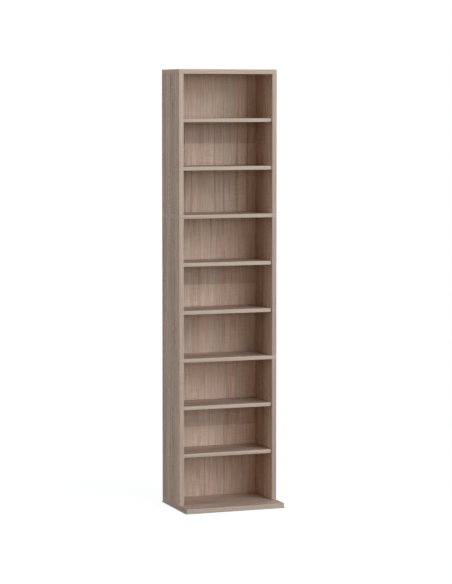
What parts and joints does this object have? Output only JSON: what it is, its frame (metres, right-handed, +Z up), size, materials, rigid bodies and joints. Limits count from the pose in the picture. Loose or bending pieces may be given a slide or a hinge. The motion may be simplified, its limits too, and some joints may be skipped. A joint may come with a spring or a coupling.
{
  "type": "cd dvd storage tower",
  "caption": "Tall narrow open storage tower for CD and DVD cases, with loose shelves on pins, grooved back sheets and a base board that reaches forward of the tower.",
  "frame": {"origin": "on the floor, under the middle of the base board", "axes": "+Z up, the open front faces -Y, +X to the right seen from the front"},
  "size_m": [0.33, 0.24, 1.4],
  "materials": {
    "decor_board": "grey-brown oak decor on particle board, matt, fine straight grain",
    "back_sheet": "grey-brown oak decor on the face of a thin hardboard sheet, bare brown behind",
    "shelf_pin": "zinc plated, turned",
    "dowel": "bare beech, fluted",
    "connector_screw": "zinc plated"
  },
  "bodies": {
    "tower": {"base_board": "decor_board", "mid_board_lower": "decor_board", "mid_board_middle": "decor_board", "top_board": "decor_board", "side_left_lower": "decor_board", "side_right_lower": "decor_board", "side_left_middle": "decor_board", "side_right_middle": "decor_board", "side_left_upper": "decor_board", "side_right_upper": "decor_board", "back_lower": "back_sheet", "back_middle": "back_sheet", "back_upper": "back_sheet", "pin_lower_1_left_front": "shelf_pin", "pin_lower_1_left_rear": "shelf_pin", "pin_lower_1_right_front": "shelf_pin", "pin_lower_1_right_rear": "shelf_pin", "pin_lower_2_left_front": "shelf_pin", "pin_lower_2_left_rear": "shelf_pin", "pin_lower_2_right_front": "shelf_pin", "pin_lower_2_right_rear": "shelf_pin", "pin_middle_1_left_front": "shelf_pin", "pin_middle_1_left_rear": "shelf_pin", "pin_middle_1_right_front": "shelf_pin", "pin_middle_1_right_rear": "shelf_pin", "pin_middle_2_left_front": "shelf_pin", "pin_middle_2_left_rear": "shelf_pin", "pin_middle_2_right_front": "shelf_pin", "pin_middle_2_right_rear": "shelf_pin", "pin_upper_1_left_front": "shelf_pin", "pin_upper_1_left_rear": "shelf_pin", "pin_upper_1_right_front": "shelf_pin", "pin_upper_1_right_rear": "shelf_pin", "pin_upper_2_left_front": "shelf_pin", "pin_upper_2_left_rear": "shelf_pin", "pin_upper_2_right_front": "shelf_pin", "pin_upper_2_right_rear": "shelf_pin", "dowel_lower_left_front": "dowel", "dowel_lower_left_rear": "dowel", "dowel_lower_right_front": "dowel", "dowel_lower_right_rear": "dowel", "dowel_middle_left_front": "dowel", "dowel_middle_left_rear": "dowel", "dowel_middle_right_front": "dowel", "dowel_middle_right_rear": "dowel", "dowel_top_left_front": "dowel", "dowel_top_left_rear": "dowel", "dowel_top_right_front": "dowel", "dowel_top_right_rear": "dowel", "screw_left_front": "connector_screw", "screw_left_rear": "connector_screw", "screw_right_front": "connector_screw", "screw_right_rear": "connector_screw"},
    "shelf_lower_1": {"shelf_lower_1": "decor_board"},
    "shelf_lower_2": {"shelf_lower_2": "decor_board"},
    "shelf_middle_1": {"shelf_middle_1": "decor_board"},
    "shelf_middle_2": {"shelf_middle_2": "decor_board"},
    "shelf_upper_1": {"shelf_upper_1": "decor_board"},
    "shelf_upper_2": {"shelf_upper_2": "decor_board"}
  },
  "joints": [
    {"name": "shelf_lower_1_pull", "type": "slide", "parent": "tower", "child": "shelf_lower_1", "axis": [0, -1, 0], "range_m": [0, 0.15]},
    {"name": "shelf_lower_2_pull", "type": "slide", "parent": "tower", "child": "shelf_lower_2", "axis": [0, -1, 0], "range_m": [0, 0.15]},
    {"name": "shelf_middle_1_pull", "type": "slide", "parent": "tower", "child": "shelf_middle_1", "axis": [0, -1, 0], "range_m": [0, 0.15]},
    {"name": "shelf_middle_2_pull", "type": "slide", "parent": "tower", "child": "shelf_middle_2", "axis": [0, -1, 0], "range_m": [0, 0.15]},
    {"name": "shelf_upper_1_pull", "type": "slide", "parent": "tower", "child": "shelf_upper_1", "axis": [0, -1, 0], "range_m": [0, 0.15]},
    {"name": "shelf_upper_2_pull", "type": "slide", "parent": "tower", "child": "shelf_upper_2", "axis": [0, -1, 0], "range_m": [0, 0.15]}
  ]
}
